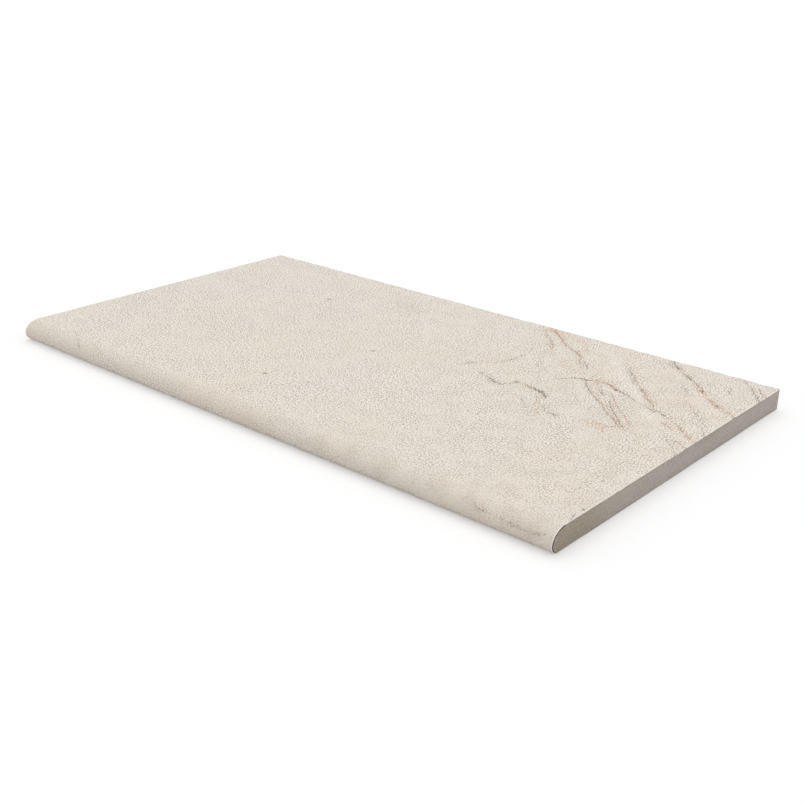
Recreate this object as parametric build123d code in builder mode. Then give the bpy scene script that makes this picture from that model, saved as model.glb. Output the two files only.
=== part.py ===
"""Pool coping stone: one pressed porcelain slab with a rolled nose along its pool edge.

X runs along the pool edge, Y from the pool to the deck and Z up. The origin is the
centre of the underside, so the stone lies on the plane Z = 0 with its nose at -Y.
"""

import os

from build123d import *

# Driving dimensions, in millimetres
length = 600.0  # along the pool edge
width = 330.0  # from the foremost line of the nose to the back edge
thickness = 18.0
roll_reach = 15.0  # how far behind the foremost line the top starts to roll over
under_radius = 7.0  # round below the foremost line, so also its height above the bed
arris = 0.8  # bevel ground along the sawn ends and the back edge

# Places that follow from them
nose_y = -width / 2
back_y = width / 2
roll_rise = thickness - under_radius

with BuildPart() as coping_stone:
    # Section across the pool edge: flat bed, round under the nose, long roll up to the flat top
    with BuildSketch(Plane.YZ.offset(-length / 2)):
        with BuildLine():
            bed = Line((back_y, 0), (nose_y + under_radius, 0))
            CenterArc((nose_y + under_radius, under_radius), under_radius, start_angle=180, arc_size=90)
            top_roll = EllipticalCenterArc(
                (nose_y + roll_reach, under_radius), roll_reach, roll_rise, start_angle=180, arc_size=-90
            )
            top = Line(top_roll @ 1, (back_y, thickness))
            Line(top @ 1, bed @ 0)
        make_face()
    extrude(amount=length)

    # The ends and the back are sawn square, and their sharp edges are eased
    sawn_ends = coping_stone.faces().filter_by(Axis.X)
    sawn_back = coping_stone.faces().sort_by(Axis.Y)[-1]
    sharp_edges = sawn_ends.edges() + sawn_back.edges()
    chamfer(set(sharp_edges), length=arris)

coping_stone.part.label = "coping_stone"

os.makedirs("parts", exist_ok=True)
export_step(coping_stone.part, "parts/coping_stone.step")
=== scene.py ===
"""Looks of a pool coping stone: a porcelain slab with a printed, anti-slip face and a rolled nose.

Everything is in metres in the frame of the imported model: X runs along the pool edge, Y from
the pool to the deck and Z up. The stone lies on the plane Z = 0 with its nose at -Y.
"""

import math
from typing import NamedTuple

import bpy
import numpy as np
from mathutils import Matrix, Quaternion, Vector, noise


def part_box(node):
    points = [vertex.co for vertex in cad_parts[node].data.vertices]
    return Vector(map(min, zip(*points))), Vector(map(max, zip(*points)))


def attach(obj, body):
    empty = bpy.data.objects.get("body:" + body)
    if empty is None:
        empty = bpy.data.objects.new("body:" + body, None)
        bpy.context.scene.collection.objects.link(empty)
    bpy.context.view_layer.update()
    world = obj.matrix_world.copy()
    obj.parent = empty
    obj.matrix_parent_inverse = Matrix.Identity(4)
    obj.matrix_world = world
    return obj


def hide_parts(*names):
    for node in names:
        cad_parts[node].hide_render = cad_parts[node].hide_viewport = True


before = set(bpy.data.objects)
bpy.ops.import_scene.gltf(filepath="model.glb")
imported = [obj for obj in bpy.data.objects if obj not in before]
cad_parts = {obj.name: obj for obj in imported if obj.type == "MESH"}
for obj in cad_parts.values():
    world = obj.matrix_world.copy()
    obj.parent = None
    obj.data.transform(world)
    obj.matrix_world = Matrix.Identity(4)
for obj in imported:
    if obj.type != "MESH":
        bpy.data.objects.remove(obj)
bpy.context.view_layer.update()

MM = 0.001

# The stone's own sizes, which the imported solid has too
STONE = "coping_stone"
low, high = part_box(STONE)
end_x = high.x
nose_y = low.y
back_y = high.y
thickness = high.z
roll_reach = 15 * MM  # how far behind the foremost line the top starts to roll over
under_radius = 7 * MM  # round below the foremost line
arris = 0.8 * MM  # easing of the sawn ends and the back edge

# How finely the piece is meshed
face_pitch = 1.6 * MM  # on the printed face, along and across
bed_pitch = 20 * MM
back_pitch = 2.5 * MM
roll_steps = 14
under_steps = 8
glazed_under_steps = 6  # of those, the ones that the printed face still covers
arris_steps = 3
sharp_angle = math.radians(32)

# Relief that is modelled: low swells all over the face, pebbling between them, and worn edges
swell_size = 70 * MM
swell_depth = 0.12 * MM
pebble_size = 5 * MM
pebble_depth = 0.09 * MM
wear_size = 9 * MM
wear_depth = 0.3 * MM

# One small chip in the top edge of the right end
chip_y = 83 * MM
chip_half_length = 2.2 * MM
chip_inward = 1.5 * MM
chip_drop = 0.7 * MM

# The printed face's grain, the softer patches of it, and its clouds and stains of colour
grain_size = 1.2 * MM
round_top_size = 1.6 * MM
patch_size = 32 * MM
cloud_size = 120 * MM
stain_size = 16 * MM
grain_relief = 0.35 * MM
fine_share = 0.7  # of the grain, the rest being the round tops
cream_share = 0.6  # of the ground's colour, the rest being the clouds
specular_level = 0.3

# How strong the grain is in the patches, down the nose, and at the left and right ends
patch_grain = (0.65, 1.05)
nose_grain = 0.5
end_grain = (1.6, 0.68)

# How strong the tan stains are at the left and right ends, and what is added to the stains and
# to the grain's contrast at the veined end and beside the veins
end_stain = (0.1, 0.3)
veined_stain = 0.06
veined_contrast = 0.35
band_stain = 0.12
band_contrast = 1.0

# Where the veined end of the face begins and is full, the calmer grain and the painted highlight along the
# rim
veined_x = (20 * MM, 160 * MM)
veined_y = (-140 * MM, 0.0)
calm_reach = 1.7 * roll_reach
highlight_rim_width = 1.6 * MM
highlight_rim_strength = (0.9, 0.3)  # on the nose and on the top

# Veins wander off their routes, thin out here and there, and lie in bands of stronger grain
wander_size = 3.5 * MM
wander_reach = 2 * MM
gap_size = 4 * MM
band_margin = 4.0  # in millimetres, as the veins' widths are
vein_core = 0.1  # of a vein's width, to either side, at full strength
vein_edge = 0.7  # of a vein's width, to either side, where it ends
skirt = 0.3  # how dark a broken vein's shaggy sides are
fleck_broken = 0.5

# The bare body's speckle, its clouds and its saw lines
speckle_size = 1.4 * MM
body_cloud_size = 30 * MM
saw_pitch = 1.2 * MM
saw_stretch = 25
nose_shade_y = (-70 * MM, -150 * MM)  # where painted shade with an olive tint starts on the body towards the nose, and where it is full
body_relief = 0.06 * MM
edge_speckle_size = 1.1 * MM
edge_relief = 0.05 * MM

# The camera, placed to see the stone as the photograph does
camera_place = Vector((0.6455, -0.7101, 0.3694))
camera_aim = Vector((0.0769, -0.0539, 0.0090))
camera_roll = math.radians(0.854)
camera_lens = 51.64
camera_sensor = 36.0

# Light: a pale surround and one broad, soft lamp, which together light the top at a level of 1
surround_level = 0.81
lamp_level = 0.19
lamp_direction = Vector((-0.30, 0.48, 1.00)).normalized()
lamp_width = math.radians(50)
floor_colour = 0.66
floor_lift = 0.35
floor_reach = 12.0
floor_gap = 0.2 * MM


def srgb(red, green, blue):
    """A colour given as it shows on screen, from 0 to 255, as the linear RGBA that shaders take."""
    shares = [c / 255 for c in (red, green, blue)]
    return tuple(s / 12.92 if s <= 0.04045 else ((s + 0.055) / 1.055) ** 2.4 for s in shares) + (1.0,)


# The colours of the print and of the bare body, and the arrises' painted shadow line
BLACK = srgb(0, 0, 0)
CREAM = srgb(228, 218, 204)
HOLLOW = srgb(180, 169, 154)
PEAK = srgb(254, 251, 246)
WARM = srgb(227, 213, 194)
COOL = srgb(222, 215, 204)
TAN = srgb(188, 172, 150)
# Pale print for the pale bands, also used for the painted highlight along the ends' rim
PALE_AND_HIGHLIGHT = srgb(248, 243, 236)
UMBER = srgb(118, 86, 54)
RUST = srgb(178, 118, 66)
OCHRE = srgb(212, 156, 98)
GREY = srgb(126, 111, 88)
BODY = srgb(191, 183, 174)
BODY_DARK = srgb(172, 162, 150)
# Painted shade on the body towards the nose, with an olive tint
BODY_NOSE_SHADE = srgb(166, 155, 136)
BODY_SPECK = srgb(132, 122, 106)
# A painted shadow line on the arrises, with painted shade deepest along the bed and round the nose
ARRIS_SHADOW_LINE = srgb(138, 129, 116)
ARRIS_LOW_SHADE = srgb(62, 56, 48)


class Vein(NamedTuple):
    """A printed vein. Its route is in millimetres on the unrolled face, as (x, y, how dark it is there).

    A broken vein is dotted and shaggy, as its ink follows the grain. Others are even lines or tints.
    """

    colour: tuple
    width: float
    route: tuple
    broken: float = 1.0


class Fleck(NamedTuple):
    """A printed dot and its place, in millimetres on the unrolled face."""

    colour: tuple
    width: float
    dark: float
    place: tuple


VEINS = (
    # Strands that come in from the back edge, with a warm stain along it
    Vein(OCHRE, 12, (
        (60, 168, 0), (75, 162, 0.2), (90, 158, 0.25), (110, 152, 0.2), (130, 146, 0),
    ), 0.5),
    Vein(OCHRE, 14, ((118, 106, 0), (130, 95, 0.2), (142, 87, 0.2), (158, 75, 0))),
    Vein(HOLLOW, 8, (
        (92, 130, 0), (97, 122, 0.2), (111, 92, 0.3), (124, 66, 0.2), (143, 45, 0.2), (159, 27, 0),
    )),
    Vein(OCHRE, 4, (
        (70, 168, 0.2), (80, 160, 0.3), (89, 152, 0.2), (104, 138, 0.2), (115, 130, 0.2), (128, 123, 0.3),
        (137, 116, 0.3), (144, 104, 0.2), (152, 92, 0),
    )),
    Vein(OCHRE, 5, (
        (68, 160, 0), (76, 151, 0.3), (88, 139, 0.3), (99, 127, 0.3), (108, 113, 0.2), (116, 100, 0),
    )),
    Vein(RUST, 1.5, (
        (76, 166, 0.4), (80, 160, 0.5), (89, 152, 0.7), (98, 145, 0.8), (104, 138, 0.8), (115, 130, 0.6),
        (124, 126, 0.8), (131, 121, 1), (136, 117, 0.9), (141, 111, 0),
    ), 0.6),
    Vein(UMBER, 1.3, (
        (76, 166, 0.2), (82, 158, 0.4), (89, 152, 0.6), (94, 148, 0.3), (98, 145, 0.6), (104, 138, 0.6),
        (111, 133, 0.4), (118, 129, 0.3), (124, 126, 0.6), (131, 121, 0.6), (136, 117, 0.5), (141, 111, 0),
    ), 0.6),
    Vein(UMBER, 1.8, (
        (70, 158, 0), (75, 152, 0.5), (82, 145, 0.4), (88, 139, 0.7), (93, 135, 0.9), (99, 127, 0.8),
        (104, 121, 0.6), (107, 115, 0.3), (111, 109, 0),
    )),
    Vein(RUST, 1.3, ((71, 168, 0.6), (74, 163, 0.6), (77, 159, 0.7), (83, 155, 0.8), (89, 151, 0)), 0.7),
    Vein(RUST, 1.3, (
        (137, 115, 0), (140, 109, 0.7), (146, 101, 0.8), (151, 94, 0.5), (156, 87, 0),
    ), 0.7),
    Vein(UMBER, 1.3, ((143, 109, 0), (147, 106, 0.8), (151, 103, 1), (155, 98, 0.8), (160, 92, 0)), 0.7),
    Vein(RUST, 1.2, ((125, 124, 0), (129, 129, 0.6), (131, 134, 0.6), (132, 140, 0)), 0.7),
    # The dark vein in the middle, with its faint tails
    Vein(GREY, 3.4, (
        (92, 28, 0), (99, 24, 0.6), (106, 21, 0.6), (112, 19, 0.8), (118, 16.5, 0.8), (124, 15, 0.8),
        (128, 21, 0.7), (131, 27, 0.7), (137, 28.5, 0.2), (145, 27, 0.6), (152, 26, 0.8), (158, 24, 0.9),
        (163, 22, 0.9), (170, 13, 0),
    ), 0.85),
    Vein(UMBER, 2.4, (
        (108, 21, 0), (113, 18.5, 0.7), (120, 15.5, 0.8), (126, 17, 0.6), (131, 27, 0.4),
        (137, 28.5, 0.1), (142, 28, 0.8), (147, 27, 0.7), (152, 26, 1), (157, 24, 1), (163, 22, 1),
        (166, 19, 1), (170, 13, 0),
    )),
    Vein(OCHRE, 2.4, ((135, 29, 0), (141, 28, 0.5), (146, 27, 0.4), (151, 26, 0))),
    Vein(RUST, 5, ((161, 22, 0), (164, 13, 0.4), (170, 2, 0.5), (177, -8, 0.5), (186, -24, 0))),
    Vein(GREY, 3, ((148, 10, 0), (156, 1, 0.35), (165, -8, 0.4), (176, -20, 0.2), (182, -28, 0))),
    Vein(UMBER, 1.4, (
        (174, 4, 0), (180, -2, 0.7), (184, -6, 0.7), (188, -7.5, 0.5), (196, -8.5, 0.5), (202, -10, 0),
    )),
    Vein(GREY, 1.6, (
        (64, 25, 0), (69, 29, 0.5), (72, 32, 0.7), (74.5, 38, 1), (77, 42, 0.5), (84, 47, 0.2),
        (91, 55, 0.5), (93.5, 60, 0.8), (95.5, 65, 0.7), (96.5, 69, 0.9), (96, 74, 0.8),
        (96.5, 79, 0.5), (97, 85, 0.7), (97, 92, 0.2), (93, 103, 0.3), (88, 112, 0),
    )),
    # The ochre vein and the fine lines that hang from it
    Vein(PALE_AND_HIGHLIGHT, 5, ((188, 70, 0), (195, 66, 0.5), (203, 64, 0.5), (210, 62, 0)), 0.3),
    Vein(OCHRE, 4, (
        (172, 77, 0), (177, 80.5, 0.8), (180, 81.5, 0.6), (185, 79, 0.8), (189, 78, 1),
        (194, 75.5, 0.8), (200, 71.5, 0.4), (206, 69, 0),
    )),
    Vein(UMBER, 2.2, (
        (152, 58, 0), (157, 64, 0.9), (160, 69.5, 0.9), (164, 70.5, 1), (168, 72.5, 1),
        (171, 72, 1), (176, 75, 0.6), (182, 77.5, 0.4), (187, 77, 1), (193, 75.5, 0.9), (199, 71, 1),
        (203, 69, 1), (207, 68.5, 1), (212, 67, 1), (216, 65, 0.8), (221, 62, 1), (226, 59.5, 0.6),
        (231, 57, 0),
    ), 0.7),
    Vein(OCHRE, 9, (
        (172, 70, 0), (186, 58, 0.15), (204, 42, 0.15), (222, 26, 0.15), (240, 10, 0.15), (252, 0, 0),
    ), 0.3),
    Vein(UMBER, 1.2, (
        (170, 73, 0), (173, 69, 0.6), (176, 64, 0.9), (179, 61, 0.9), (185, 55, 0.9), (190, 50, 1),
        (194, 47, 0.8), (198, 44, 0.8), (204, 39, 0.8), (209, 36, 0.5), (215, 29, 0.8), (219, 26, 0.6),
        (223, 22, 0.9), (229, 18, 0.9), (234, 14, 0.8), (238, 10, 0.6), (243, 6, 0.2), (247, 2, 0),
    ), 0.5),
    Vein(UMBER, 1.3, (
        (177, 78, 0), (181, 73, 0.7), (186, 68, 0.6), (192, 62, 0.6), (197, 56, 0.9), (201, 51, 0),
    ), 0.8),
    Vein(RUST, 1.1, (
        (198, 66, 0), (203, 60, 0.7), (210, 52, 0.6), (218, 43, 0.7), (226, 35, 0.8), (232, 30, 0.5),
        (237, 25, 0.8), (243, 19, 0.7), (249, 13, 0.4), (254, 7, 0),
    ), 0.5),
    Vein(UMBER, 1.2, (
        (207, 49, 0), (212, 43, 0.6), (221, 32, 0.8), (225, 28, 0.8), (232, 21, 0.9), (238, 14, 0.9),
        (242, 10, 0.9), (246, 7, 0.7), (251, 2, 0),
    ), 0.5),
    # The orange patch below them
    Vein(RUST, 2.0, (
        (229, 3, 0), (232, -1, 0.7), (234.5, -5, 0.7), (238, -9, 0.5), (241, -13, 0),
    ), 0.8),
    Vein(OCHRE, 3.2, ((216, 2, 0), (220, -3, 0.6), (224, -8, 0.7), (228, -12, 0))),
    Vein(OCHRE, 3.6, ((224, 2, 0), (229, -2, 0.6), (234, -7, 0.6), (239, -12, 0))),
    Vein(UMBER, 1.1, (
        (222, -3, 0), (226, 0, 0.6), (229, 2, 0.6), (232, 1.5, 0.6), (236, 0.5, 0.8), (239, 3, 0.8),
        (244, 7, 0),
    ), 0.4),
    # The long vein that leaves by the right end, and the pale band beside it
    Vein(PALE_AND_HIGHLIGHT, 11, (
        (130, 160, 0), (144, 148, 0.2), (160, 134, 0.25), (179, 112, 0.25), (211, 79, 0.25),
        (226, 63, 0.25), (242, 47, 0.2), (255, 35, 0.2), (269, 22, 0.1), (285, 6, 0),
    ), 0.2),
    Vein(OCHRE, 5, (
        (186, 119, 0), (197, 105, 0.2), (212, 89, 0.2), (222, 80, 0.3), (232, 69, 0.3), (244, 57, 0.2),
        (256, 50, 0.3), (267, 42, 0.3), (279, 35, 0.3), (290, 25, 0.3), (302, 17, 0.2),
    )),
    Vein(UMBER, 1.7, (
        (181, 125, 0), (186, 118, 0.6), (192, 110, 0.7), (197, 105, 0.9), (201, 99, 0.9),
        (206, 94, 0.8), (212, 89, 0.5), (218, 84, 1), (222, 80, 0.6), (227, 74, 1), (232, 69, 0.7),
        (237, 64, 0.8), (241, 61, 0.8), (244, 57, 0.5), (249, 53.5, 0.8), (255, 50, 0.8), (259, 48, 0.7),
        (262, 46, 0.8), (266, 43, 0.3), (271, 40, 0),
    )),
    Vein(RUST, 1.8, (
        (213, 89, 0), (218, 84, 0.5), (222, 80, 0.7), (226, 75, 0.4), (230, 71, 0.6), (235, 66, 0),
    )),
    Vein(UMBER, 1.3, (
        (228, 61, 0), (233, 57, 0.6), (239, 54, 0.8), (243, 53, 0.9), (247, 50.5, 0.7), (252, 48, 0),
    ), 0.7),
    Vein(RUST, 1.1, ((260, 46, 0), (264, 49, 0.6), (268, 51, 0.5), (273, 54, 0))),
    Vein(RUST, 1.5, (
        (272, 41, 0), (276, 37.5, 0.7), (278.5, 35.5, 1), (281, 33, 0.9), (285, 29, 0.7),
        (287.5, 27, 0.8), (290, 25, 0.8), (293, 23, 0.6), (297, 20.5, 0.5), (303, 17, 0.3),
    )),
    Vein(UMBER, 1.1, (
        (274, 39, 0), (277, 36.5, 0.7), (280, 34, 0.5), (284, 30, 0.2), (289, 26, 0.5), (294, 22, 0),
    )),
    Vein(RUST, 1.3, (
        (261, 38, 0), (265, 35, 0.8), (268, 33, 1), (271.5, 32, 0.8), (275, 29.5, 0.7), (280, 26, 0),
    )),
    Vein(RUST, 1.8, (
        (283, 14, 0), (288, 11.5, 0.7), (291, 11, 0.8), (295, 8.5, 0.4), (298, 6.5, 0.9), (304, 3, 0.2),
    )),
    Vein(GREY, 1.4, (
        (277, 16, 0), (281, 11, 0.6), (286, 6, 0.7), (290, 1, 0.3), (293, -3, 0.5), (297, -7, 0.6),
        (302, -13, 0.1),
    )),
    Vein(GREY, 1.3, (
        (268, 76, 0), (273, 70, 0.6), (280, 63, 0.7), (285, 59, 0.6), (290, 50, 0.3), (295, 41, 0.7),
        (299, 35, 0.6), (303, 28, 0.3),
    )),
    # The vein across the back right corner
    Vein(OCHRE, 3, ((245, 97, 0), (251, 99.5, 0.6), (256, 104, 0.6), (262, 107, 0))),
    Vein(OCHRE, 4, ((256, 88, 0), (261, 83, 0.3), (266, 78, 0.3), (271, 73, 0))),
    Vein(OCHRE, 5, (
        (210, 155, 0), (222, 144, 0.2), (236, 133, 0.2), (245, 126, 0.3), (256, 115, 0.3), (268, 103, 0.3),
        (278, 96, 0.3), (290, 89, 0.3), (302, 82, 0.1),
    )),
    Vein(GREY, 2.8, (
        (197, 170, 0.6), (203, 163, 0.8), (207, 157, 0.5), (212, 152, 0.7), (218, 147, 0.3),
        (225, 141, 0.4), (231, 137, 0.8), (237, 132, 0.6), (241, 129, 0.2), (245, 126, 0.4),
        (251, 120, 0),
    )),
    Vein(UMBER, 1.7, (
        (204, 160, 0), (208, 155, 0.8), (213, 151.5, 0.8), (219, 146.5, 0.3), (225, 141.5, 0.2),
        (231, 136.5, 0.8), (236, 133, 0.5), (240, 130, 0.3), (245, 126, 0.9), (250, 121.5, 0.7),
        (255, 116, 0.9), (259, 111, 0.2), (263, 107, 0.1), (268, 103, 0.4), (275, 97.5, 0.9),
        (279, 95, 0.8), (284, 91.5, 0.4), (289, 89, 0),
    )),
    Vein(RUST, 1.6, (
        (246, 125, 0), (251, 120, 0.7), (255, 115, 0.7), (259, 111, 0.3), (264, 106, 0.3),
        (268, 103, 0.8), (272, 100, 1), (277, 96, 0.8), (281, 93.5, 0.8), (285, 91, 1), (288, 90, 0.4),
        (291, 88.5, 0.7), (295, 86.5, 0.3), (300, 83.5, 0.1),
    )),
    Vein(UMBER, 1.3, ((203, 158, 0), (207, 153, 0.8), (210, 151, 0.5), (215, 149, 0.6), (220, 146, 0))),
    Vein(UMBER, 1.4, ((239, 113, 0), (242.5, 110, 0.7), (245, 107, 0.7), (249, 103, 0))),
    Vein(GREY, 1.5, (
        (268, 165, 0.4), (273, 159, 0.7), (277, 155, 0.4), (282, 150, 0.6), (285, 146, 0.8),
        (288, 141.5, 0.8), (293, 136, 1), (297, 130, 1), (302, 124, 0.5),
    ), 0.6),
    Vein(GREY, 1.3, ((285, 155, 0), (289, 150, 0.8), (294, 144, 1), (299, 139, 1), (303, 135, 0.6)), 0.5),
    Vein(GREY, 3, ((266, 140, 0), (271, 135, 0.5), (272.5, 129, 0.5), (276, 124, 0))),
    # Faint marks on the open field and along the nose
    Vein(PALE_AND_HIGHLIGHT, 12, ((-46, 120, 0), (-36, 108, 0.1), (-16, 86, 0.15), (3, 63, 0.1), (12, 52, 0)), 0.2),
    Vein(TAN, 26, ((-96, 136, 0), (-76, 124, 0.35), (-62, 115, 0.35), (-42, 102, 0))),
    Vein(OCHRE, 5, ((46, 106, 0), (50, 103, 0.2), (57, 101, 0.2), (62, 98, 0))),
    Vein(UMBER, 1.2, (
        (-245, -147, 0), (-240, -149, 0.5), (-230, -154, 0.3), (-218, -164, 0.4), (-212, -171, 0),
    ), 0.7),
    Vein(UMBER, 1.2, ((-206, -150, 0), (-199, -157, 0.3), (-187, -164, 0.3), (-180, -168, 0))),
    Vein(GREY, 4, (
        (232, -167, 0), (241, -168.5, 0.4), (250, -169, 0.1), (262, -170, 0.3), (270, -171, 0.4),
        (278, -171.5, 0.3), (288, -170.5, 0.4), (294, -169, 0),
    )),
    Vein(OCHRE, 2.4, ((256, -123, 0), (262, -119, 0.4), (266, -116, 0.3), (271, -112, 0))),
    Vein(UMBER, 1.3, (
        (299.5, -148, 0), (298.8, -144, 0.6), (298, -141, 0.7), (297, -137, 0.6), (296, -133, 0),
    ), 0.6),
)

FLECKS = (
    # Beside the strands at the back edge
    Fleck(UMBER, 2.4, 0.8, (93, 135)),
    Fleck(UMBER, 2.4, 0.8, (99, 127)),
    # In the dark vein
    Fleck(GREY, 3.4, 0.8, (130, 29)),
    Fleck(UMBER, 3.2, 0.9, (159, 25)),
    Fleck(UMBER, 3.0, 0.9, (166, 19)),
    Fleck(UMBER, 2.6, 0.8, (193, -8)),
    # In the ochre vein and on the fine lines
    Fleck(OCHRE, 3.2, 0.8, (177, 79)),
    Fleck(UMBER, 3.2, 1, (202, 70)),
    # In the long vein
    Fleck(UMBER, 2.4, 0.8, (218, 83)),
    Fleck(UMBER, 3.0, 0.7, (256, 50)),
    # In the vein across the corner
    Fleck(UMBER, 3.2, 0.9, (213, 151)),
    Fleck(UMBER, 3.2, 0.9, (255, 116)),
    Fleck(UMBER, 3.2, 0.9, (278, 95)),
    # On the open field
    Fleck(UMBER, 3.2, 1, (-36, -101)),
    Fleck(UMBER, 3.4, 1, (-142, 84)),
    Fleck(UMBER, 3.2, 1, (-7, 2)),
    Fleck(GREY, 2.4, 0.6, (5, -91)),
    Fleck(GREY, 1.8, 0.6, (-244, -153.2)),
    Fleck(OCHRE, 2.6, 0.5, (76.5, -147)),
    Fleck(UMBER, 2.2, 0.8, (297, -126)),
    Fleck(UMBER, 2.2, 0.7, (284, -82)),
    Fleck(UMBER, 2.0, 0.6, (290, -97)),
    Fleck(UMBER, 1.8, 0.6, (278, -101)),
    # Down the nose
    Fleck(GREY, 1.4, 0.9, (240, -168.5)),
    Fleck(GREY, 1.5, 1, (243.5, -169)),
    Fleck(GREY, 1.1, 0.6, (266, -170)),
    Fleck(GREY, 1.5, 1, (269, -171)),
    Fleck(GREY, 1.2, 0.6, (278, -171.6)),
    Fleck(GREY, 1.1, 0.7, (286, -171)),
    Fleck(GREY, 1.3, 0.8, (288.5, -170.6)),
    Fleck(GREY, 1.1, 0.8, (292, -169)),
)


def along(first, last, pitch):
    """Evenly spaced values from first to last, about pitch apart."""
    steps = max(1, round(abs(last - first) / pitch))
    return np.linspace(first, last, steps + 1)


def rounded(centre_y, centre_z, radius_y, radius_z, first_deg, last_deg, steps):
    """Points (y, z) on part of an ellipse."""
    angles = np.radians(np.linspace(first_deg, last_deg, steps + 1))
    return np.column_stack((centre_y + radius_y * np.cos(angles), centre_z + radius_z * np.sin(angles)))


def level(ys, z):
    """Points (y, z) along a level line."""
    return np.column_stack((ys, np.full(len(ys), z)))


# The materials' places on the piece
PRINTED, BARE, EASED = 0, 1, 2


def section():
    """The section's points (y, z), from the top's back edge round the nose, and their materials."""
    roll_y = nose_y + roll_reach
    bed_y = nose_y + under_radius
    inner_y = back_y - arris
    top = level(along(inner_y, roll_y, face_pitch), thickness)
    roll = rounded(roll_y, under_radius, roll_reach, thickness - under_radius, 90, 180, roll_steps)
    under = rounded(bed_y, under_radius, under_radius, under_radius, 180, 270, under_steps)
    bed = level(along(bed_y, inner_y, bed_pitch), 0.0)
    low_arris = rounded(inner_y, arris, arris, arris, 270, 360, arris_steps)
    back_z = along(arris, thickness - arris, back_pitch)
    back = np.column_stack((np.full(len(back_z), back_y), back_z))
    high_arris = rounded(inner_y, thickness - arris, arris, arris, 0, 90, arris_steps)
    stretches = (
        (top, PRINTED),
        (roll, PRINTED),
        (under[: glazed_under_steps + 1], PRINTED),
        (under[glazed_under_steps:], BARE),
        (bed, BARE),
        (low_arris, EASED),
        (back, BARE),
        (high_arris, EASED),
    )
    points = np.concatenate([p[:-1] for p, _ in stretches])
    kinds = np.concatenate([np.full(len(p) - 1, kind) for p, kind in stretches])
    return points, kinds


def outward(points):
    """Unit normals at the points of a closed section that runs anticlockwise, seen from +X."""
    step = np.roll(points, -1, axis=0) - points
    step /= np.linalg.norm(step, axis=1)[:, None]
    turned = np.column_stack((step[:, 1], -step[:, 0]))
    both = turned + np.roll(turned, 1, axis=0)
    return both / np.linalg.norm(both, axis=1)[:, None]


def smooth_noise(places, size, octaves):
    """Fractal noise from about 0 to 1 at each place, with features of that size."""
    values = [noise.fractal(Vector(p) / size, 1.0, 2.0, octaves) for p in places]
    return np.clip(0.5 + 0.6 * np.array(values), 0, 1)


def chip_edge(places):
    """Breaks one small chip out of the top edge of the right end."""
    rim = places[-arris_steps - 1 :]
    near = np.exp(-(((rim[..., 1] - chip_y) / chip_half_length) ** 2))
    near[rim[..., 2] < thickness - 2 * arris] = 0
    rim[..., 0] -= chip_inward * near
    rim[..., 2] -= chip_drop * near


def slab_mesh():
    """The whole stone as one closed mesh: rings of the section along X, eased in to flat ends."""
    ring, kinds = section()
    normals = outward(ring)
    count = len(ring)
    easing = np.radians(np.linspace(0, 90, arris_steps + 1))
    inner_x = along(-end_x + arris, end_x - arris, face_pitch)
    eased_x = end_x - arris + arris * np.sin(easing[1:])
    eased_in = arris * (1 - np.cos(easing[1:]))
    xs = np.concatenate((-eased_x[::-1], inner_x, eased_x))
    insets = np.concatenate((eased_in[::-1], np.zeros(len(inner_x)), eased_in))
    columns = len(xs)

    yz = ring[None] - insets[:, None, None] * normals[None]
    places = np.concatenate((np.broadcast_to(xs[:, None, None], (columns, count, 1)), yz), axis=2)
    facing = np.concatenate((np.zeros((count, 1)), normals), axis=1)

    # The printed face sinks a little below its true plane, and the eased edges are worn
    printed = (kinds == PRINTED) | (np.roll(kinds, 1) == PRINTED)
    worn = (kinds == EASED) & (np.roll(kinds, 1) == EASED)
    depth = np.zeros((columns, count))
    shown = places[:, printed].reshape(-1, 3)
    swells = swell_depth * smooth_noise(shown, swell_size, 2)
    pebbles = pebble_depth * smooth_noise(shown, pebble_size, 2)
    depth[:, printed] = (swells + pebbles).reshape(columns, -1)
    edge = np.zeros((columns, count), bool)
    edge[:, worn] = True
    edge[1:arris_steps] = True
    edge[-arris_steps:-1] = True
    wear = smooth_noise(places[edge], wear_size, 3)
    depth[edge] += wear_depth * np.clip(2 * wear - 0.9, 0, 1)
    places -= depth[:, :, None] * facing[None]
    chip_edge(places)

    # Quads between the rings, then the two flat ends
    here = np.arange(columns * count).reshape(columns, count)
    after = np.roll(here, -1, axis=1)
    quads = np.stack((here[:-1], after[:-1], after[1:], here[1:]), axis=2).reshape(-1, 4)
    faces = quads.tolist() + [here[0, ::-1].tolist(), here[-1].tolist()]
    slots = np.broadcast_to(kinds, (columns - 1, count)).copy()
    # Each end's outer arris step, and round the nose the step beside it, takes the painted shadow line
    slots[[0, -1]] = EASED
    slots[np.ix_((1, -2), ring[:, 0] < nose_y + roll_reach)] = EASED
    slots = np.concatenate((slots.ravel(), (BARE, BARE)))

    mesh = bpy.data.meshes.new("coping_stone_slab")
    mesh.from_pydata(places.reshape(-1, 3).tolist(), [], faces)
    mesh.polygons.foreach_set("material_index", slots.astype(np.int32))
    mesh.polygons.foreach_set("use_smooth", np.ones(len(faces), bool))
    mesh.set_sharp_from_angle(angle=sharp_angle)
    unwrap(mesh, xs, ring, kinds)
    return mesh


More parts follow.
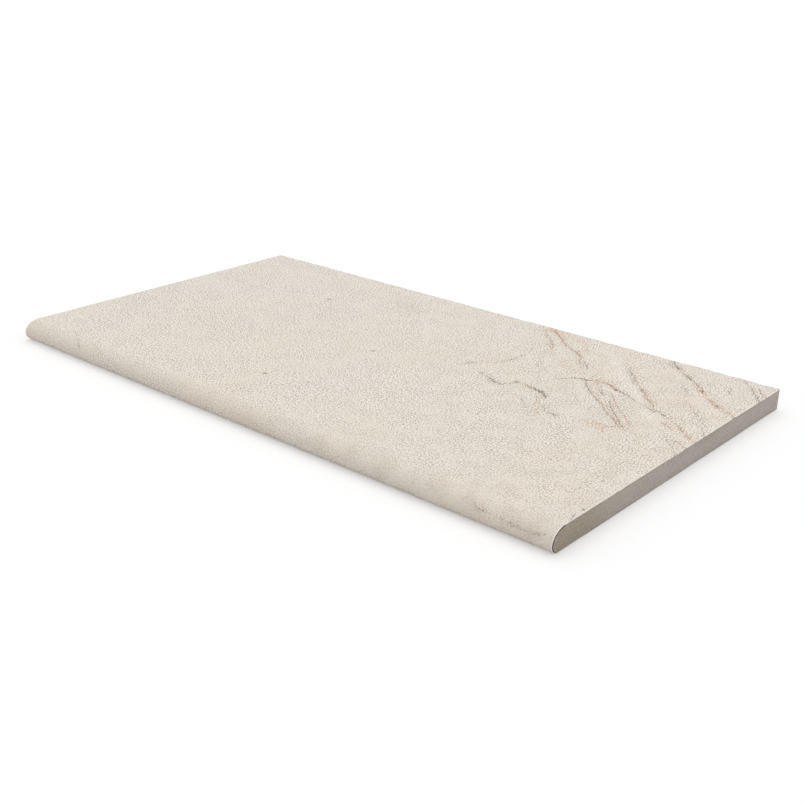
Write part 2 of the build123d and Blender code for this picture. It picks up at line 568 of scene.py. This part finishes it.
def unwrap(mesh, xs, ring, kinds):
    """A map for stored textures.

    The printed face takes most of it, the bare sides a band and the ends two strips.
    """
    face_band = (0.20, 1.0)
    bare_band = (0.075, 0.19)
    end_strips = ((0.003, 0.033), (0.038, 0.068))
    lengths = np.linalg.norm(np.roll(ring, -1, axis=0) - ring, axis=1)
    starts, stops = np.zeros(len(ring)), np.zeros(len(ring))
    for band, inside in ((face_band, kinds == PRINTED), (bare_band, kinds != PRINTED)):
        reach = np.cumsum(lengths[inside])
        share = (band[1] - band[0]) / reach[-1]
        stops[inside] = band[0] + share * reach
        starts[inside] = stops[inside] - share * lengths[inside]
    across = (xs + end_x) / (2 * end_x)
    u0, u1 = across[:-1, None], across[1:, None]
    v0, v1 = starts[None], stops[None]
    corners = [np.broadcast_arrays(*pair) for pair in ((u0, v0), (u0, v1), (u1, v1), (u1, v0))]
    sides = np.stack([np.stack(pair, axis=-1) for pair in corners], axis=2).reshape(-1, 2)
    end_u = (ring[:, 0] - nose_y) / (back_y - nose_y)
    ends = []
    for strip, order in zip(end_strips, (slice(None, None, -1), slice(None))):
        end_v = strip[0] + (strip[1] - strip[0]) * ring[:, 1] / thickness
        ends.append(np.column_stack((end_u, end_v))[order])
    layer = mesh.uv_layers.new(name="OFBake")
    layer.data.foreach_set("uv", np.concatenate((sides, *ends)).ravel())


class Nodes:
    """A node tree, with short calls that add a node and give back its output."""

    def __init__(self, tree):
        self.tree = tree

    def feed(self, socket, value):
        """Links an input to an output, or sets it to a constant."""
        if isinstance(value, bpy.types.NodeSocket):
            self.tree.links.new(value, socket)
        else:
            socket.default_value = value

    def add(self, kind, inputs, **settings):
        """A new node of that kind."""
        node = self.tree.nodes.new(kind)
        for name, value in settings.items():
            setattr(node, name, value)
        for key, value in inputs.items():
            self.feed(node.inputs[key], value)
        return node

    def math(self, operation, *values):
        return self.add("ShaderNodeMath", dict(enumerate(values)), operation=operation).outputs[0]

    def vector_math(self, operation, inputs):
        return self.add("ShaderNodeVectorMath", inputs, operation=operation).outputs

    def split(self, vector):
        return self.add("ShaderNodeSeparateXYZ", {0: vector}).outputs

    def ramp(self, value, first, last, low_end=0.0, high_end=1.0):
        """A smooth step from low_end to high_end as value goes from first to last."""
        ends = {"From Min": first, "From Max": last, "To Min": low_end, "To Max": high_end}
        node = self.add("ShaderNodeMapRange", {"Value": value, **ends}, interpolation_type="SMOOTHSTEP")
        return node.outputs["Result"]

    def mix(self, share, first, second):
        return self.add("ShaderNodeMix", {0: share, 6: first, 7: second}, data_type="RGBA").outputs[2]

    def curve(self, value, points):
        """A curve through points (x, y) with no overshoot, level beyond its ends."""
        node = self.add("ShaderNodeFloatCurve", {"Value": value})
        node.mapping.use_clip = False
        node.mapping.extend = "HORIZONTAL"
        knots = node.mapping.curves[0].points
        knots[0].location, knots[1].location = points[0], points[-1]
        for point in points[1:-1]:
            knots.new(*point)
        for knot in knots:
            knot.handle_type = "AUTO_CLAMPED"
        node.mapping.update()
        return node.outputs["Value"]

    def seen_directly(self):
        """1 for what the camera sees, straight or reflected, and 0 for light that falls on the stone."""
        path = self.add("ShaderNodeLightPath", {}).outputs
        both = self.math("MAXIMUM", path["Is Camera Ray"], path["Is Glossy Ray"])
        return self.math("MAXIMUM", both, path["Is Transmission Ray"])


class Surface(Nodes):
    """A material's nodes, in which places are in metres on the stone."""

    def __init__(self, name):
        self.material = bpy.data.materials.new(name)
        self.material.use_nodes = True
        super().__init__(self.material.node_tree)
        self.place = self.add("ShaderNodeTexCoord", {}).outputs["Object"]

    def noise(self, size, detail, roughness, place=None, dimensions="3D"):
        """Noise from 0 to 1 whose features are about that size: its value and its colour."""
        place = place or self.place
        inputs = {"Vector": place, "Scale": 1 / size, "Detail": detail, "Roughness": roughness}
        outputs = self.add("ShaderNodeTexNoise", inputs, noise_dimensions=dimensions).outputs
        return outputs["Fac"], outputs["Color"]

    def finish(self, colour, roughness, height, depth):
        """Sets the surface: its colour, its roughness, and relief of that depth."""
        bump = self.add("ShaderNodeBump", {"Strength": 1.0, "Distance": depth, "Height": height})
        shader = self.tree.nodes["Principled BSDF"]
        self.feed(shader.inputs["Base Color"], colour)
        self.feed(shader.inputs["Roughness"], roughness)
        self.feed(shader.inputs["Normal"], bump.outputs["Normal"])
        shader.inputs["Specular IOR Level"].default_value = specular_level
        return self.material


def vein_masks(surface, place, vein):
    """How strongly a vein shows, and the band of stronger grain that it lies in.

    The route bends to either side of the straight line between its ends.
    """
    route = [Vector((x, y, 0)) * MM for x, y, _ in vein.route]
    chord = route[-1] - route[0]
    reach = chord.length
    ahead = chord / reach
    left = Vector((-ahead.y, ahead.x, 0))
    onward = surface.vector_math("DOT_PRODUCT", {0: place, 1: ahead / reach})["Value"]
    aside = surface.vector_math("DOT_PRODUCT", {0: place, 1: left / reach})["Value"]
    steps = [p.dot(ahead) / reach for p in route]
    bends = [p.dot(left) / reach for p in route]
    darks = [dark for _, _, dark in vein.route]
    off_line = surface.math("SUBTRACT", aside, surface.curve(onward, list(zip(steps, bends))))
    off_line = surface.math("ABSOLUTE", off_line)
    dark = surface.curve(onward, list(zip(steps, darks)))
    width = vein.width * MM / reach
    line = surface.ramp(off_line, vein_core * width, vein_edge * width, 1, 0)
    band = surface.ramp(off_line, 0, (vein.width + band_margin) * MM / reach, 1, 0)
    shape = surface.math("MAXIMUM", line, surface.math("MULTIPLY", band, skirt * vein.broken))
    return surface.math("MULTIPLY", shape, dark), surface.math("MULTIPLY", band, dark)


def fleck_mask(surface, place, fleck):
    """How strongly a fleck shows."""
    x, y = fleck.place
    centre = (x * MM, y * MM, 0)
    off_centre = surface.vector_math("DISTANCE", {0: place, 1: centre})["Value"]
    return surface.ramp(off_centre, 0, fleck.width * MM, fleck.dark, 0)


class Marks:
    """A layer of printed marks, each laid over those before it."""

    def __init__(self, surface, ink):
        self.surface = surface
        self.ink = ink
        self.layer = BLACK
        self.bare = 1.0

    def lay(self, mask, colour, broken):
        """Lays a mark of that colour, which follows the ink as far as it is broken."""
        ink = self.surface.math("MULTIPLY_ADD", self.ink, broken, 1 - broken)
        cover = self.surface.math("MULTIPLY", mask, ink)
        self.layer = self.surface.mix(cover, self.layer, colour)
        self.bare = self.surface.math("MULTIPLY", self.bare, self.surface.math("SUBTRACT", 1.0, cover))

    def over(self, ground):
        """The marks over a ground colour."""
        return self.surface.vector_math("MULTIPLY_ADD", {0: ground, 1: self.bare, 2: self.layer})[0]


def printed_face():
    """The cream face: fine light and dark grain, soft clouds of colour, and veins."""
    surface = Surface("printed_face")
    x, y, z = surface.split(surface.place)

    # The face unrolled flat, with the nose ahead of the top
    unrolled_y = surface.math("ADD", y, surface.math("SUBTRACT", z, thickness))
    unrolled = surface.add("ShaderNodeCombineXYZ", {"X": x, "Y": unrolled_y}).outputs[0]

    # Grain of fine hollows and small round tops
    fine, _ = surface.noise(grain_size, 2, 0.65, unrolled, "2D")
    cells = surface.add(
        "ShaderNodeTexVoronoi",
        {"Vector": unrolled, "Scale": 1 / round_top_size, "Randomness": 0.85},
        voronoi_dimensions="2D",
    )
    tops = surface.ramp(cells.outputs["Distance"], 0.7, 0.08)
    tops = surface.math("MULTIPLY", tops, 1 - fine_share)
    grain = surface.math("MULTIPLY_ADD", fine, fine_share, tops)

    # The ink of the marks lies in the hollows of the grain, and thins out here and there
    gaps = surface.ramp(surface.noise(gap_size, 4, 0.8)[0], 0.4, 0.55, 0.12, 1.0)
    ink = surface.math("MULTIPLY", surface.ramp(grain, 0.63, 0.48, 0.25, 1.0), gaps)

    # Veins and flecks, all on lines that wander, gathered into one layer
    _, shift = surface.noise(wander_size, 3, 0.6, unrolled)
    shift = surface.vector_math("SUBTRACT", {0: shift, 1: (0.5, 0.5, 0.5)})[0]
    shift = surface.vector_math("SCALE", {0: shift, "Scale": wander_reach})["Vector"]
    place = surface.vector_math("ADD", {0: unrolled, 1: shift})[0]
    marks = Marks(surface, ink)
    band = 0.0
    for vein in VEINS:
        line, beside = vein_masks(surface, place, vein)
        marks.lay(line, vein.colour, vein.broken)
        band = surface.math("MAXIMUM", band, beside)
    for colour in (OCHRE, UMBER, GREY):
        dots = 0.0
        for fleck in FLECKS:
            if fleck.colour == colour:
                dots = surface.math("MAXIMUM", dots, fleck_mask(surface, place, fleck))
        marks.lay(dots, colour, fleck_broken)

    # Clouds of warmer and cooler cream, with tan stains at the veined end and beside the veins
    clouds, _ = surface.noise(cloud_size, 3, 0.55)
    stains, _ = surface.noise(stain_size, 3, 0.6)
    veined_end = surface.math("MULTIPLY", surface.ramp(x, *veined_x), surface.ramp(y, *veined_y))
    stained = surface.ramp(x, -end_x, end_x, *end_stain)
    stained = surface.math("MULTIPLY_ADD", veined_end, veined_stain, stained)
    stained = surface.math("MULTIPLY", stained, surface.ramp(stains, 0.35, 0.65))
    stained = surface.math("MULTIPLY_ADD", band, band_stain, stained)
    colour = surface.mix(surface.ramp(clouds, 0.35, 0.65), WARM, COOL)
    colour = surface.mix(cream_share, colour, CREAM)
    colour = surface.mix(stained, colour, TAN)

    # The grain is weaker in smooth patches and down the nose, and stronger beside veins
    patches, _ = surface.noise(patch_size, 3, 0.6)
    strength = surface.ramp(patches, 0.4, 0.6, *patch_grain)
    down_nose = surface.ramp(y, nose_y, nose_y + calm_reach, nose_grain, 1.0)
    strength = surface.math("MULTIPLY", strength, down_nose)
    strength = surface.math("MULTIPLY", strength, surface.ramp(x, -end_x, end_x, *end_grain))
    relief = surface.math("MULTIPLY", grain, strength)
    added = surface.math("MULTIPLY_ADD", veined_end, veined_contrast, 1.0)
    contrast = surface.math("MULTIPLY", strength, added)
    added = surface.math("MULTIPLY_ADD", band, band_contrast, 1.0)
    contrast = surface.math("MULTIPLY", contrast, added)
    dark = surface.math("MULTIPLY", surface.ramp(grain, 0.5, 0.25), contrast)
    light = surface.math("MULTIPLY", surface.ramp(grain, 0.5, 0.66), contrast)
    colour = surface.mix(dark, colour, HOLLOW)
    colour = surface.mix(light, colour, PEAK)

    # A painted highlight along the rim of the sawn ends, which shows most on the nose
    rim = surface.ramp(surface.math("ABSOLUTE", x), end_x - highlight_rim_width, end_x - arris)
    on_nose = surface.ramp(y, nose_y + 0.5 * roll_reach, nose_y + roll_reach, *highlight_rim_strength)
    rim = surface.math("MULTIPLY", rim, on_nose)
    colour = surface.mix(rim, colour, PALE_AND_HIGHLIGHT)

    roughness = surface.ramp(grain, 0.35, 0.65, 0.72, 0.58)
    return surface.finish(marks.over(colour), roughness, relief, grain_relief)


def bare_body():
    """The fired body on the ends, back and bed: taupe, finely speckled, faint saw lines, painted olive
    shade by the nose.
    """
    surface = Surface("bare_body")
    speckle, _ = surface.noise(speckle_size, 2, 0.6)
    clouds, _ = surface.noise(body_cloud_size, 3, 0.55)
    _, y, _ = surface.split(surface.place)
    squeeze = (1 / saw_stretch, 1 / saw_stretch, 1)
    stretched = surface.vector_math("MULTIPLY", {0: surface.place, 1: squeeze})[0]
    saw, _ = surface.noise(saw_pitch, 2, 0.5, stretched)
    colour = surface.mix(surface.ramp(clouds, 0.35, 0.65, 0, 0.25), BODY, BODY_DARK)
    # Painted shade, with an olive tint, towards the nose
    colour = surface.mix(surface.ramp(y, *nose_shade_y), colour, BODY_NOSE_SHADE)
    colour = surface.mix(surface.ramp(saw, 0.5, 0.3, 0, 0.4), colour, BODY_DARK)
    colour = surface.mix(surface.ramp(speckle, 0.5, 0.3, 0, 0.45), colour, BODY_SPECK)
    colour = surface.mix(surface.ramp(speckle, 0.52, 0.72, 0, 0.3), colour, CREAM)
    height = surface.math("MULTIPLY", surface.math("ADD", speckle, saw), 0.5)
    return surface.finish(colour, surface.ramp(clouds, 0.3, 0.7, 0.78, 0.7), height, body_relief)


def shaded_eased_edge():
    """The ground arrises: a painted shadow line, darker than the body, darkest round the nose and along
    the bed.
    """
    surface = Surface("shaded_eased_edge")
    _, y, z = surface.split(surface.place)
    # Painted shade, deepest low down and round the nose
    less_shaded = surface.ramp(y, nose_y + 0.5 * roll_reach, nose_y + 2 * roll_reach)
    less_shaded = surface.math("MULTIPLY", less_shaded, surface.ramp(z, 0.2 * thickness, thickness))
    ground = surface.mix(less_shaded, ARRIS_LOW_SHADE, ARRIS_SHADOW_LINE)
    speckle, _ = surface.noise(edge_speckle_size, 2, 0.6)
    colour = surface.mix(surface.ramp(speckle, 0.45, 0.75, 0, 0.4), ground, BODY)
    return surface.finish(colour, surface.ramp(speckle, 0.3, 0.7, 0.7, 0.6), speckle, edge_relief)


def make_stone():
    """The dressed stone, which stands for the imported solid."""
    stone = bpy.data.objects.new("coping_stone_slab", slab_mesh())
    for material in (printed_face(), bare_body(), shaded_eased_edge()):
        stone.data.materials.append(material)
    bpy.context.scene.collection.objects.link(stone)
    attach(stone, "root")
    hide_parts(STONE)


def make_floor():
    """A pale floor that shows white and keeps the stone's shadow."""
    bpy.ops.mesh.primitive_plane_add(size=2 * floor_reach, location=(0, 0, -floor_gap))
    floor = bpy.context.object
    floor.name = "floor"
    surface = Surface("floor")
    nodes = surface.tree.nodes
    nodes.remove(nodes["Principled BSDF"])
    pale = (floor_colour, floor_colour, floor_colour, 1)
    diffuse = surface.add("ShaderNodeBsdfDiffuse", {"Color": pale})
    lift = surface.math("MULTIPLY", surface.seen_directly(), floor_lift)
    glow = surface.add("ShaderNodeEmission", {"Strength": lift})
    both = surface.add("ShaderNodeAddShader", {0: diffuse.outputs[0], 1: glow.outputs[0]})
    surface.feed(nodes["Material Output"].inputs["Surface"], both.outputs[0])
    floor.data.materials.append(surface.material)


def make_light():
    """A surround that shows white and lights the stone from all round, and the lamp."""
    world = bpy.data.worlds.new("surround")
    world.use_nodes = True
    bpy.context.scene.world = world
    nodes = Nodes(world.node_tree)
    background = world.node_tree.nodes["Background"]
    background.inputs["Color"].default_value = (1, 1, 1, 1)
    strength = nodes.math("MULTIPLY_ADD", nodes.seen_directly(), 1 - surround_level, surround_level)
    nodes.feed(background.inputs["Strength"], strength)

    lamp = bpy.data.objects.new("lamp", bpy.data.lights.new("lamp", "SUN"))
    lamp.data.energy = lamp_level * math.pi / lamp_direction.z
    lamp.data.angle = lamp_width
    lamp.rotation_euler = lamp_direction.to_track_quat("Z", "Y").to_euler()
    bpy.context.scene.collection.objects.link(lamp)


def make_camera():
    """The camera, at the photograph's viewing angle."""
    camera = bpy.data.objects.new("camera", bpy.data.cameras.new("camera"))
    camera.data.lens = camera_lens
    camera.data.sensor_width = camera_sensor
    camera.location = camera_place
    level_turn = (camera_aim - camera_place).to_track_quat("-Z", "Y")
    camera.rotation_euler = (level_turn @ Quaternion((0, 0, 1), camera_roll)).to_euler()
    bpy.context.scene.collection.objects.link(camera)
    bpy.context.scene.camera = camera


make_stone()
make_floor()
make_light()
make_camera()
bpy.context.scene.view_settings.view_transform = "Standard"

bpy.context.view_layer.update()
